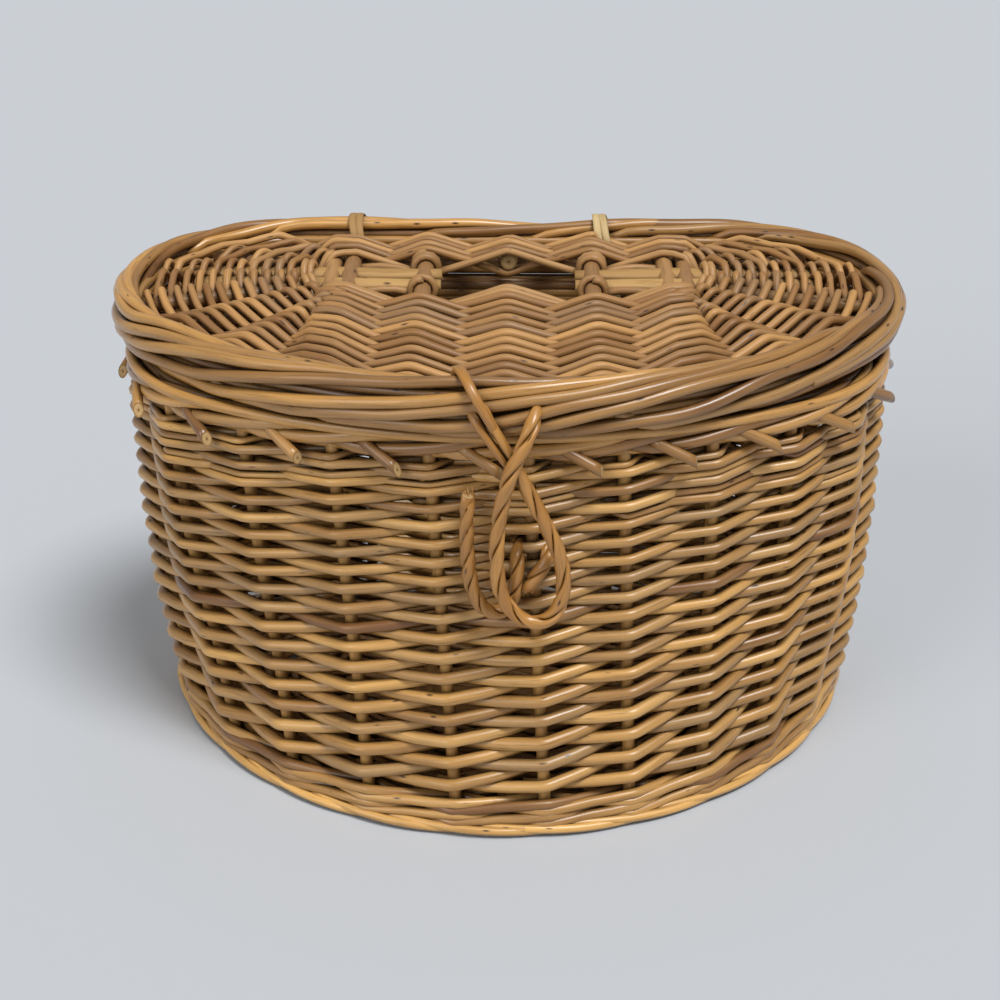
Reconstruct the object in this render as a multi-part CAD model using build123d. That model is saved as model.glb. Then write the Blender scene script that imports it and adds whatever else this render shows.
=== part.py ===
from build123d import *
import os
from math import acos, atan2, cos, hypot, pi, sin

# Wicker fishing creel. Millimetres, +Z up, front towards -Y.
# The origin is the middle of the base's underside, on the surface that the creel stands on.
# An outline is (half width, front, back, corner radius): one front arc, two end arcs, a straight back.

# outer face of the woven body at its mouth
top_half_width = 179.5
top_front = 94.7
top_back = 100.7
top_corner = 84.8

# how the foot differs from the mouth: narrower, further out in front, with tighter corners
foot_side_setback = 6.0
foot_front_spread = 11.3
foot_back_spread = 0.5
foot_corner_tightening = 28.0
wall_bulge = 2.28

# how far the lid stands out over the body, and its own corners
lid_side_overhang = 7.7
lid_front_overhang = 9.4
lid_back_overhang = 13.6
lid_corner = 85.9

# rods
stake_diameter = 5.8
weaver_diameter = 4.3
base_stick_diameter = 7.5
base_long_stick_height = 3.6
base_long_stick_width = 7.0
lid_stick_diameter = 8.5
lid_long_stick_height = 4.2
lid_long_stick_width = 8.0
lid_weaver_diameter = 4.0
rope_diameter = 6.5
tail_diameter = 5.6

# heights
base_thickness = 16.5
wall_height = 169.3
body_border_height = 15.4
lid_border_height = 26.5
lid_border_width = 16.0
lid_weave_drop = 2.75

# stakes round the wall
stake_count = 22
first_stake_offset = 10.5
stake_crowding = 4.0
crowding_turn = 1.2
stake_lean = 10.0
stake_tail_length = 38.0
stake_tail_height = 4.4
stake_bend = 9.0
stake_top_cover = 4.5

# cut ends of the body border
tail_before_stake = 13.0
tail_run = 15.0
tail_rise = 5.2
tail_drop = 9.0
tail_inset = 2.4

# slath of the base
base_stick_pitch = 40.0
base_stick_height = 11.6
base_stick_inset = 6.0
base_long_pitch = 17.0
base_long_inset = 31.0

# slath of the lid, and the hole for the fish
lid_stick_pitch = 40.5
twin_stick_gap = 0.6
lid_stick_front_inset = 3.0
lid_stick_back_inset = 10.0
hole_half_width = 32.0
hole_front = 24.0
hole_back = 68.0
front_long_stick = 40.0
back_long_stick = 54.0
lid_long_reach = 150.0
fan_centre_x = 60.0
fan_start_x = 92.0
fan_turns = (-58.0, -38.0, -18.0, 20.0, 38.0)
fan_stick_diameter = 6.8

# hinge ties
tie_after_stake = 7.3
tie_width = 7.0
tie_thickness = 1.2
tie_slack = 0.4
right_tie_stake = 10
left_tie_stake = 13

# hasp of twisted willow, hanging from the lid's front border
hasp_pivot_rise = 10.0
hasp_left_x = -10.0
hasp_right_x = 11.5
hasp_half_gap = 12.5
hasp_shift = 12.0
hasp_drop = 94.0
hasp_wide_drop = 68.0
hasp_cross_drop = 16.0
hasp_cross_shift = 2.0
hasp_taper = 3.5
hasp_bend = 9.0
hasp_cross_bend = 20.0
hasp_leg_bend = 50.0
strand_lean = 6.0
strand_depth = 8.0
strand_bend = 4.5

# hook of twisted willow, held by a stake
hook_bottom_height = 120.0
hook_root_height = 146.0
hook_reach = 30.0
hook_tip_height = 176.0
hook_bend = 11.0
hook_end_rise = 14.0

# clearances
fit = 0.15
running_gap = 0.3
rest_gap = 0.3

# worked out from the sizes above
base_outline = (
    top_half_width - foot_side_setback,
    top_front + foot_front_spread,
    top_back + foot_back_spread,
    top_corner - foot_corner_tightening,
)
top_outline = (top_half_width, top_front, top_back, top_corner)
lid_outline = (
    top_half_width + lid_side_overhang,
    top_front + lid_front_overhang,
    top_back + lid_back_overhang,
    lid_corner,
)
wall_thickness = stake_diameter + 2 * weaver_diameter
wall_middle = wall_thickness / 2
wall_top = base_thickness + wall_height
body_top = wall_top + body_border_height
lid_bottom = body_top + rest_gap
lid_top = lid_bottom + lid_border_height
lid_weave_thickness = lid_stick_diameter + 2 * lid_weaver_diameter
lid_weave_top = lid_top - lid_weave_drop
lid_weave_bottom = lid_weave_top - lid_weave_thickness
lid_stick_height = (lid_weave_top + lid_weave_bottom) / 2
border_corner = 0.42 * lid_border_width
hasp_pivot_height = lid_bottom + hasp_pivot_rise
hinge_y = lid_outline[2] - lid_border_width / 2
hinge_z = lid_bottom + lid_border_height / 2
body_border_y = top_back - wall_middle
body_border_z = wall_top + body_border_height / 2


def arc_centres(outline):
    """Centre of the right end arc, then the front arc's centre height and radius."""
    half_width, front, back, corner = outline
    end_x = half_width - corner
    end_y = back - corner
    offset = front - corner
    front_y = (end_x**2 + end_y**2 - offset**2) / (2 * (offset + end_y))
    return end_x, end_y, front_y, front_y + front


def arc_lengths(outline):
    """Half the front arc, one end arc, half the back, and the angle where the arcs meet."""
    end_x, end_y, front_y, front_radius = arc_centres(outline)
    meet = atan2(end_y - front_y, end_x)
    return front_radius * (meet + pi / 2), outline[3] * (pi / 2 - meet), end_x, meet


def half_girth(outline):
    return sum(arc_lengths(outline)[:3])


def place_on(outline, along, inset):
    """The point at a signed distance round from the front's middle, and the outward normal."""
    end_x, end_y, front_y, front_radius = arc_centres(outline)
    front_run, end_run, _, meet = arc_lengths(outline)
    half = half_girth(outline)
    along = (along + half) % (2 * half) - half
    side = 1 if along >= 0 else -1
    run = abs(along)
    if run <= front_run:
        angle = run / front_radius - pi / 2
        x, y = front_radius * cos(angle), front_y + front_radius * sin(angle)
    elif run <= front_run + end_run:
        angle = meet + (run - front_run) / outline[3]
        x, y = end_x + outline[3] * cos(angle), end_y + outline[3] * sin(angle)
    else:
        angle = pi / 2
        x, y = half - run, outline[2]
    normal = Vector(side * cos(angle), sin(angle), 0)
    return Vector(side * x, y, 0) - normal * inset, normal


def outline_at(height):
    """The body's outer outline at a height, swelling quickly low down and slowly higher up."""
    share = min(max(height / wall_top, 0), 1)
    blend = 1 - (1 - share) ** wall_bulge
    return tuple(low + (high - low) * blend for low, high in zip(base_outline, top_outline))


def outline_face(outline, inset, height):
    half_width, front, back, corner = (size - inset for size in outline)
    end_x, end_y, front_y, front_radius = arc_centres((half_width, front, back, corner))
    meet = atan2(end_y - front_y, end_x)
    middle = (meet + pi / 2) / 2
    join_x, join_y = end_x + corner * cos(meet), end_y + corner * sin(meet)
    side_x, side_y = end_x + corner * cos(middle), end_y + corner * sin(middle)
    edges = [
        ThreePointArc((-join_x, join_y, height), (0, -front, height), (join_x, join_y, height)),
        ThreePointArc((join_x, join_y, height), (side_x, side_y, height), (end_x, back, height)),
        Line((end_x, back, height), (-end_x, back, height)),
        ThreePointArc((-end_x, back, height), (-side_x, side_y, height), (-join_x, join_y, height)),
    ]
    return Face(Wire(edges))


def slab(outline, inset, bottom, height):
    return extrude(outline_face(outline, inset, bottom), height, dir=(0, 0, 1))


def wall_solid(inset, bottom, top, steps):
    heights = [bottom + (top - bottom) * step / steps for step in range(steps + 1)]
    return loft([outline_face(outline_at(height), inset, height) for height in heights])


def rod(points, radii, diameter):
    """A round rod along straight runs joined by arcs."""
    path = FilletPolyline(*points, radius=radii)
    start = Plane(origin=path @ 0, z_dir=path % 0)
    return sweep(start * Circle(diameter / 2), path=path)


def straight_rod(start, end, diameter):
    direction = Vector(*end) - Vector(*start)
    return extrude(Plane(origin=start, z_dir=direction) * Circle(diameter / 2), direction.length)


def across(x, y, z):
    """A plane square to the X axis, with its own x along +Y and its own y along +Z."""
    return Plane(origin=(x, y, z), x_dir=(0, 1, 0), z_dir=(1, 0, 0))


def stake_along(number, height):
    """Distance of a stake round the body from the front's middle; its foot stands further round."""
    share = number / stake_count
    swing = stake_crowding * stake_count / (2 * pi)
    crowded = swing * (sin(2 * pi * share + crowding_turn) - sin(crowding_turn))
    leaning = stake_lean * (1 - height / wall_top)
    along = first_stake_offset + 2 * half_girth(top_outline) * share + crowded + leaning
    return along * half_girth(outline_at(height)) / half_girth(top_outline)


def stake_rod(number, diameter, top):
    """A stake: its tail in the base, the bend at the edge and the run up the wall."""
    along = stake_along(number, stake_tail_height)
    edge, outward = place_on(outline_at(stake_tail_height), along, wall_middle)
    foot = edge - outward * stake_tail_length + Vector(0, 0, stake_tail_height)
    corner = edge + Vector(0, 0, stake_tail_height)
    points = [foot, corner]
    for height in (wall_top / 3, wall_top * 2 / 3, top):
        place, _ = place_on(outline_at(height), stake_along(number, height), wall_middle)
        points.append(place + Vector(0, 0, height))
    return rod(points, [stake_bend, wall_top, wall_top], diameter)


def stake_top():
    return body_top - stake_top_cover


def stakes():
    return [stake_rod(number, stake_diameter, stake_top()) for number in range(stake_count)]


def stake_channels():
    return [
        stake_rod(number, stake_diameter + 2 * fit, stake_top() + fit) for number in range(stake_count)
    ]


def belt(x, centre_a, radius_a, centre_b, radius_b):
    """The face of a band drawn round two circles, at one X."""
    ya, za = centre_a
    yb, zb = centre_b
    heading = atan2(zb - za, yb - ya)
    lean = acos((radius_a - radius_b) / hypot(yb - ya, zb - za))

    def round_a(angle):
        return x, ya + radius_a * cos(angle), za + radius_a * sin(angle)

    def round_b(angle):
        return x, yb + radius_b * cos(angle), zb + radius_b * sin(angle)

    left, right = heading + lean, heading - lean
    edges = [
        Line(round_a(right), round_b(right)),
        ThreePointArc(round_b(right), round_b(heading), round_b(left)),
        Line(round_b(left), round_a(left)),
        ThreePointArc(round_a(left), round_a(heading + pi), round_a(right)),
    ]
    return Face(Wire(edges))


def tie_x(number):
    """A hinge tie goes through the wall just past a stake, where no border end is in its way."""
    place, _ = place_on(top_outline, stake_along(number, wall_top) + tie_after_stake, wall_middle)
    return place.X


def tie_inner_radii():
    """Just clear of the lid's border, which turns in the tie, and of the body's border."""
    lid_half = lid_border_height / 2
    lid_side = lid_border_width / 2 - border_corner
    lid_reach = hypot(lid_side, lid_half - border_corner) + border_corner
    body_side = wall_thickness / 2 - body_border_corner()
    body_half = body_border_height / 2 - body_border_corner()
    body_reach = hypot(body_side, body_half) + body_border_corner()
    return max(lid_reach, lid_half) + tie_slack, body_reach + tie_slack


def body_border_corner():
    return 0.36 * wall_thickness


def tie_band(number, growth, extra_width):
    lid_radius, body_radius = tie_inner_radii()
    width = tie_width + 2 * extra_width
    side = tie_x(number) - width / 2
    lid_centre, body_centre = (hinge_y, hinge_z), (body_border_y, body_border_z)
    band = belt(side, lid_centre, lid_radius + growth, body_centre, body_radius + growth)
    return extrude(band, width, dir=(1, 0, 0))


def hinge_tie(number):
    return tie_band(number, tie_thickness, 0) - tie_band(number, 0, 1)


def tie_slot(number):
    """What the tie passes through in the lid's weave, while the lid swings round inside it."""
    lid_radius, _ = tie_inner_radii()
    side = across(tie_x(number) - tie_width, hinge_y, hinge_z)
    core = extrude(side * Circle(lid_radius - fit), 2 * tie_width, dir=(1, 0, 0))
    return tie_band(number, tie_thickness + running_gap, running_gap) - core


def rounded_ring(outline, width, bottom, height, corner):
    ring = slab(outline, 0, bottom, height) - slab(outline, width, bottom - 1, height + 2)
    level = [bottom, bottom + height]
    rims = [edge for edge in ring.edges() if any(abs(edge.center().Z - z) < 0.01 for z in level)]
    return fillet(rims, corner)


def base_sticks():
    """Short sticks from front to back, each slit for the long sticks."""
    sticks = []
    for place in range(-2, 3):
        x = place * base_stick_pitch
        front, back = reach_at(base_outline, wall_thickness + base_stick_inset, x)
        front_end = (x, front, base_stick_height)
        back_end = (x, back, base_stick_height)
        stick = straight_rod(front_end, back_end, base_stick_diameter)
        for slit in base_long_sticks(fit):
            stick -= slit
        sticks.append(stick)
    return sticks


def base_long_sticks(clearance):
    height = base_long_stick_height + 2 * clearance
    width = base_long_stick_width + 2 * clearance
    length = 2 * (base_outline[0] - wall_thickness - base_long_inset + clearance)
    places = [Pos(0, row * base_long_pitch, base_stick_height) for row in (-1, 0, 1)]
    return [place * Box(length, width, height) for place in places]


def reach_at(outline, inset, x):
    """The front and back of an outline at one X."""
    half_width, front, back, corner = (size - inset for size in outline)
    end_x, end_y, front_y, front_radius = arc_centres((half_width, front, back, corner))
    meet = atan2(end_y - front_y, end_x)
    if abs(x) <= end_x + corner * cos(meet):
        low = front_y - (front_radius**2 - x**2) ** 0.5
    else:
        low = end_y - (corner**2 - (abs(x) - end_x) ** 2) ** 0.5
    high = back
    if abs(x) > end_x:
        high = end_y + (corner**2 - (abs(x) - end_x) ** 2) ** 0.5
    return low, high


def base_weave():
    plate = slab(base_outline, wall_thickness, 0, base_thickness)
    for place in range(-2, 3):
        x = place * base_stick_pitch
        front, back = reach_at(base_outline, wall_thickness + base_stick_inset, x)
        plate -= straight_rod(
            (x, front - fit, base_stick_height),
            (x, back + fit, base_stick_height),
            base_stick_diameter + 2 * fit,
        )
    for slot in base_long_sticks(fit):
        plate -= slot
    return plate


def upsett():
    """The close rows round the base's edge, with a rounded foot."""
    top = base_thickness
    ring = loft([outline_face(base_outline, 0, 0), outline_face(outline_at(top), 0, top)], ruled=True)
    foot = ring.edges().filter_by(lambda edge: abs(edge.center().Z) < 0.01)
    return fillet(foot, wall_thickness / 3) - slab(base_outline, wall_thickness, -1, top + 2)


def wall_weave():
    shell = wall_solid(0, base_thickness, wall_top, 4)
    return shell - wall_solid(wall_thickness, base_thickness, wall_top, 4)


def body_border():
    return rounded_ring(top_outline, wall_thickness, wall_top, body_border_height, body_border_corner())


def border_tail(number):
    """A cut rod end that leaves the border downwards and lies on the wall."""
    end_along = stake_along(number, wall_top) - tail_before_stake
    inset = tail_inset - tail_diameter
    start, _ = place_on(top_outline, end_along - tail_run, inset)
    end, _ = place_on(top_outline, end_along, inset)
    high = wall_top + tail_rise
    return straight_rod(start + Vector(0, 0, high), end + Vector(0, 0, high - tail_drop), tail_diameter)


def border_tails():
    return [border_tail(number) for number in range(stake_count)]


def lid_border():
    return rounded_ring(lid_outline, lid_border_width, lid_bottom, lid_border_height, border_corner)


def lid_cross_runs():
    """Each front-to-back stick of the lid: name, X, front end and back end."""
    runs = []
    names = ["left_outer", "left_inner", "centre", "right_inner", "right_outer"]
    for place, name in zip(range(-2, 3), names):
        x = place * lid_stick_pitch
        outer = abs(x) + lid_stick_diameter * (1.5 if abs(place) == 2 else 0.5)
        front, _ = reach_at(lid_outline, lid_border_width + lid_stick_front_inset, outer)
        _, back = reach_at(lid_outline, lid_border_width + lid_stick_back_inset, outer)
        if place == 0:
            front_end = hole_front - lid_weaver_diameter
            runs.append((name + "_front", [x], front, front_end))
            runs.append((name + "_back", [x], hole_back + lid_weaver_diameter, back))
        elif abs(place) == 2:
            half = (lid_stick_diameter + twin_stick_gap) / 2
            runs.append((name, [x - half, x + half], front, back))
        else:
            runs.append((name, [x], front, back))
    return runs


def lid_cross_stick(places, front, back, growth):
    height = lid_stick_height
    pieces = []
    for x in places:
        start, end = (x, front - growth, height), (x, back + growth, height)
        pieces.append(straight_rod(start, end, lid_stick_diameter + 2 * growth))
    return pieces


def lid_long_stick(side, row, clearance):
    """A split stick from the hole's edge outwards, through the cross sticks."""
    inner = hole_half_width - clearance
    outer = lid_long_reach + clearance
    size = (outer - inner, lid_long_stick_width + 2 * clearance, lid_long_stick_height + 2 * clearance)
    return Pos(side * (inner + outer) / 2, row, lid_stick_height) * Box(*size)


def lid_long_rows():
    return {"front": front_long_stick, "back": back_long_stick}


def fan_stick(side, turn, growth):
    """One of the sticks that spread out over the lid's round end, clear of the long sticks."""
    row = (front_long_stick + back_long_stick) / 2
    heading = Vector(1, 0, 0).rotate(Axis.Z, turn)
    centre = Vector(fan_centre_x, row, lid_stick_height)
    radius = fan_stick_diameter / 2
    long_side = (back_long_stick - front_long_stick + lid_long_stick_width) / 2 + running_gap
    past_cross = (fan_start_x - fan_centre_x + radius * abs(heading.Y)) / heading.X
    past_long = (long_side + radius * heading.X) / abs(heading.Y)
    start = centre + heading * (max(past_cross, past_long) - growth)
    end = centre + heading * (fan_reach(centre, heading) + growth)
    if side < 0:
        start = Vector(-start.X, start.Y, start.Z)
        end = Vector(-end.X, end.Y, end.Z)
    return straight_rod(start, end, fan_stick_diameter + 2 * growth)


def fan_reach(centre, heading):
    """How far the lid's weave goes in one direction: up to the end arc or the front arc."""
    inset = lid_border_width + lid_stick_front_inset
    end_x, end_y, front_y, front_radius = arc_centres(lid_outline)
    reaches = []
    for x, y, radius in ((end_x, end_y, lid_outline[3]), (0, front_y, front_radius)):
        gap = centre - Vector(x, y, centre.Z)
        along = gap.dot(heading)
        reaches.append(-along + (along**2 - gap.length**2 + (radius - inset) ** 2) ** 0.5)
    return min(reaches)


def fish_hole(bottom, height):
    middle = (hole_front + hole_back) / 2
    hole = Box(2 * hole_half_width, hole_back - hole_front, height)
    return Pos(0, middle, bottom + height / 2) * hole


def lid_weave():
    plate = slab(lid_outline, lid_border_width, lid_weave_bottom, lid_weave_thickness)
    plate -= fish_hole(lid_weave_bottom - 1, lid_weave_thickness + 2)
    for _, places, front, back in lid_cross_runs():
        for channel in lid_cross_stick(places, front, back, fit):
            plate -= channel
    for side in (-1, 1):
        for row in lid_long_rows().values():
            plate -= lid_long_stick(side, row, fit)
        for turn in fan_turns:
            plate -= fan_stick(side, turn, fit)
    for number in (left_tie_stake, right_tie_stake):
        plate -= tie_slot(number)
    return plate - lid_strand(fit)


def hasp_y():
    return -(lid_outline[1] + rope_diameter / 2 + running_gap)


def hasp_loop():
    """One rope: down from the left, round the loop and up to the right, crossing near the top."""
    y = hasp_y()
    top = hasp_pivot_height
    bottom = top - hasp_drop
    wide = top - hasp_wide_drop
    in_front = y - rope_diameter - running_gap
    cross_x = (hasp_left_x + hasp_right_x) / 2 + hasp_cross_shift
    left_x = hasp_shift - hasp_half_gap - rope_diameter / 2
    right_x = hasp_shift + hasp_half_gap + rope_diameter / 2
    points = [
        (hasp_left_x, y, top),
        (cross_x, y, top - hasp_cross_drop),
        (right_x, y, wide),
        (right_x - hasp_taper, y, bottom),
        (left_x + hasp_taper, y, bottom),
        (left_x, y, wide),
        (cross_x, in_front, top - hasp_cross_drop),
        (hasp_right_x, y, top),
    ]
    bends = [hasp_cross_bend, hasp_leg_bend, hasp_bend, hasp_bend, hasp_leg_bend, hasp_cross_bend]
    return rod(points, bends, rope_diameter)


def lid_strand(growth):
    """The hasp's strand where it comes out of the lid and runs down over the front border."""
    y = hasp_y()
    start = hasp_pivot_height + rope_diameter / 2 + running_gap
    over = lid_top + rope_diameter / 2 + running_gap
    x = hasp_left_x - strand_lean
    border_inside, _ = reach_at(lid_outline, lid_border_width, abs(x) + rope_diameter / 2)
    inner = border_inside + rope_diameter / 2 + running_gap
    deep = lid_weave_top - strand_depth
    points = [(x, inner, deep), (x, inner, over), (x + 1, y, over), (hasp_left_x, y, start)]
    return rod(points, [strand_bend, strand_bend], rope_diameter + 2 * growth)


def hook_stake_x():
    place, _ = place_on(outline_at(hook_root_height), stake_along(0, hook_root_height), wall_middle)
    return place.X


def hook_ends():
    """Where the hook's two strands go through the wall, either side of the first stake."""
    side = (stake_diameter + rope_diameter) / 2 + 2 * fit + running_gap
    return hook_stake_x() - side, hook_stake_x() + side


def hook_faces():
    """Rope centre lines in front of the wall and behind it."""
    front = -(outline_at(hook_bottom_height - rope_diameter)[1] + rope_diameter / 2 + running_gap)
    inside = -(outline_at(hook_root_height)[1] - wall_thickness - rope_diameter / 2 - running_gap)
    return front, inside


def hook():
    """One rope: up the crook's tip, round its bottom, in beside the stake, behind it and out again."""
    left, right = hook_ends()
    front, inside = hook_faces()
    low = hook_bottom_height
    tip_x = left + rope_diameter - hook_reach
    points = [
        (tip_x, front, hook_tip_height),
        (tip_x, front, low + hook_bend / 2),
        (left - rope_diameter / 2, front, low),
        (left, front, hook_root_height),
        (left, inside, hook_root_height),
        (right, inside, hook_root_height),
        (right, front, hook_root_height),
        (left + rope_diameter + 2 * running_gap, front, low + hook_end_rise),
    ]
    turn = (rope_diameter + running_gap) / 2
    return rod(points, [hook_bend, hook_bend / 2, turn, turn, turn, turn], rope_diameter)


def hook_sockets():
    left, right = hook_ends()
    front, inside = hook_faces()
    size = rope_diameter + 2 * fit
    height = hook_root_height
    return [straight_rod((x, front, height), (x, inside, height), size) for x in (left, right)]


def write(name, shape):
    solids = shape if isinstance(shape, list) else [shape]
    export_step(solids[0] if len(solids) == 1 else Compound(children=solids), f"parts/{name}.step")


def main():
    os.makedirs("parts", exist_ok=True)
    channels = stake_channels()
    wall = wall_weave()
    foot = upsett()
    plate = base_weave()
    rim = body_border()
    for channel in channels:
        wall -= channel
        foot -= channel
        plate -= channel
        rim -= channel
    for cutter in hook_sockets():
        wall -= cutter
    for number in (left_tie_stake, right_tie_stake):
        wall -= tie_band(number, tie_thickness + fit, fit)
    write("wall_weave", wall)
    write("upsett", foot)
    write("base_weave", plate)
    write("body_border", rim)
    write("body_border_tails", border_tails())
    for number, stake in enumerate(stakes(), start=1):
        write(f"stake_{number:02d}", stake)
    for number, stick in enumerate(base_sticks(), start=1):
        write(f"base_cross_stick_{number}", stick)
    for number, stick in enumerate(base_long_sticks(0), start=1):
        write(f"base_long_stick_{number}", stick)

    rows = lid_long_rows().values()
    long_slots = [lid_long_stick(side, row, fit) for side in (-1, 1) for row in rows]
    for name, places, front, back in lid_cross_runs():
        pieces = []
        for piece in lid_cross_stick(places, front, back, 0):
            for slot in long_slots:
                piece -= slot
            pieces.append(piece)
        write(f"lid_cross_stick_{name}", pieces)
    for side, side_name in ((-1, "left"), (1, "right")):
        for row_name, row in lid_long_rows().items():
            write(f"lid_long_stick_{side_name}_{row_name}", lid_long_stick(side, row, 0))
        write(f"lid_fan_sticks_{side_name}", [fan_stick(side, turn, 0) for turn in fan_turns])
    write("lid_weave", lid_weave())
    write("lid_border", lid_border())
    write("hinge_tie_left", hinge_tie(left_tie_stake))
    write("hinge_tie_right", hinge_tie(right_tie_stake))
    write("hasp_strand_on_lid", lid_strand(0))
    write("hasp_loop", hasp_loop())
    write("hook", hook())
    print("hinge axis y, z:", round(hinge_y, 2), round(hinge_z, 2))
    print("hasp pivot y, z:", round(hasp_y(), 2), round(hasp_pivot_height, 2))


main()
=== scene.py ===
import math
import random

import bpy
import bmesh
from mathutils import Matrix, Vector, noise


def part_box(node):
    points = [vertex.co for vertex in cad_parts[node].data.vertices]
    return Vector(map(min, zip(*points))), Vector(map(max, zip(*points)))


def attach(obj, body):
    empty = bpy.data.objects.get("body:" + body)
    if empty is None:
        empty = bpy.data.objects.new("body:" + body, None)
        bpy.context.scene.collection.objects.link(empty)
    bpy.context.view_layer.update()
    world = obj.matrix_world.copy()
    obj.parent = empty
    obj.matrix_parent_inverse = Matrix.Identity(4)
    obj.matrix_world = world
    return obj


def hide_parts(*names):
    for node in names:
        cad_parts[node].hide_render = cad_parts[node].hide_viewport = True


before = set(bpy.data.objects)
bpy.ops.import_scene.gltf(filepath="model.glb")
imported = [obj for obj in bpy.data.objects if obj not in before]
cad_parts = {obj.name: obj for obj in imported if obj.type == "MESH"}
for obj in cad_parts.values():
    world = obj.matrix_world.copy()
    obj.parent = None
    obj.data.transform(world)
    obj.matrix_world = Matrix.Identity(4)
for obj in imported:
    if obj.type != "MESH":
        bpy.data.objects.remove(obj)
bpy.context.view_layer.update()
print("frame loaded")

# All sizes below are in millimetres, as in the CAD. mm turns them into metres.
mm = 0.001

outlines = {  # half width, front, back and end radius of each D-shaped outline
    "mouth": (179.5, 94.7, 100.7, 84.8),
    "foot": (173.5, 106.0, 101.2, 56.8),
    "lid": (187.2, 104.1, 114.3, 85.9),
    "mouthHeight": 185.8,
    "bulge": 2.28,
}

stakes = {"count": 22, "width": 5.8, "first": 10.5, "crowding": 4.0, "turn": 1.2, "inset": 7.2, "lean": 10.0}


def arcCentres(outline):
    halfWidth, front, back, corner = outline
    endX = halfWidth - corner
    endY = back - corner
    offset = front - corner
    frontY = (endX ** 2 + endY ** 2 - offset ** 2) / (2 * (offset + endY))
    return endX, endY, frontY, frontY + front


def arcLengths(outline):
    endX, endY, frontY, frontRadius = arcCentres(outline)
    meet = math.atan2(endY - frontY, endX)
    return frontRadius * (meet + math.pi / 2), outline[3] * (math.pi / 2 - meet), endX, meet


def halfGirth(outline):
    return sum(arcLengths(outline)[:3])


# A place on an outline: along runs from the middle of the front, the right side first.
def placeOn(outline, along, inset):
    half = halfGirth(outline)
    along = (along + half) % (2 * half) - half
    endX, endY, frontY, frontRadius = arcCentres(outline)
    frontRun, endRun, _, meet = arcLengths(outline)
    run = abs(along)
    if run <= frontRun:
        angle = run / frontRadius - math.pi / 2
        x, y = frontRadius * math.cos(angle), frontY + frontRadius * math.sin(angle)
    elif run <= frontRun + endRun:
        angle = meet + (run - frontRun) / outline[3]
        x, y = endX + outline[3] * math.cos(angle), endY + outline[3] * math.sin(angle)
    else:
        angle = math.pi / 2
        x, y = half - run, outline[2]
    side = 1 if along >= 0 else -1
    outward = Vector((side * math.cos(angle), math.sin(angle), 0))
    return Vector((side * x, y, 0)) - outward * inset, outward


def outlineAt(height):
    share = min(max(height / outlines["mouthHeight"], 0), 1)
    swell = 1 - (1 - share) ** outlines["bulge"]
    return tuple(a + (b - a) * swell for a, b in zip(outlines["foot"], outlines["mouth"]))


mouthHalf = halfGirth(outlines["mouth"])


# Where a stake stands, measured round the mouth. Half numbers are between two stakes.
def stakeAlong(number):
    count = stakes["count"]
    swing = stakes["crowding"] * count / (2 * math.pi)
    share = number / count
    crowded = swing * (math.sin(2 * math.pi * share + stakes["turn"]) - math.sin(stakes["turn"]))
    return stakes["first"] + 2 * mouthHalf * share + crowded


def onWall(along, height, inset):
    outline = outlineAt(height)
    along += stakes["lean"] * (1 - height / outlines["mouthHeight"])  # the stakes lean, feet to the right
    place, outward = placeOn(outline, along * halfGirth(outline) / mouthHalf, inset)
    place.z = height
    return place, outward


# ---- rods ----

def newPiece():
    piece = bmesh.new()
    piece.loops.layers.uv.new("UVMap")
    piece.verts.layers.float_vector.new("rodTone")
    return piece


def newCurve(kind, points):
    curve = bpy.data.curves.new("line", "CURVE")
    curve.dimensions = "3D"
    line = curve.splines.new(kind)
    line.points.add(len(points) - 1)
    for spot, point in zip(line.points, points):
        spot.co = (*point, 1.0)
    return curve, line


# The mesh that a curve shows; the curve itself goes.
def curveMesh(curve):
    holder = bpy.data.objects.new("line", curve)
    mesh = bpy.data.meshes.new_from_object(holder)
    bpy.data.objects.remove(holder)
    bpy.data.curves.remove(curve)
    return mesh


# A smooth line led by a few guide points, with its points read from Blender's own spline.
def smoothLine(points, steps):
    curve, line = newCurve("NURBS", points)
    curve.resolution_u = steps
    line.order_u = 4
    line.use_endpoint_u = True
    mesh = curveMesh(curve)
    found = [vertex.co.copy() for vertex in mesh.vertices]
    bpy.data.meshes.remove(mesh)
    return found


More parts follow.
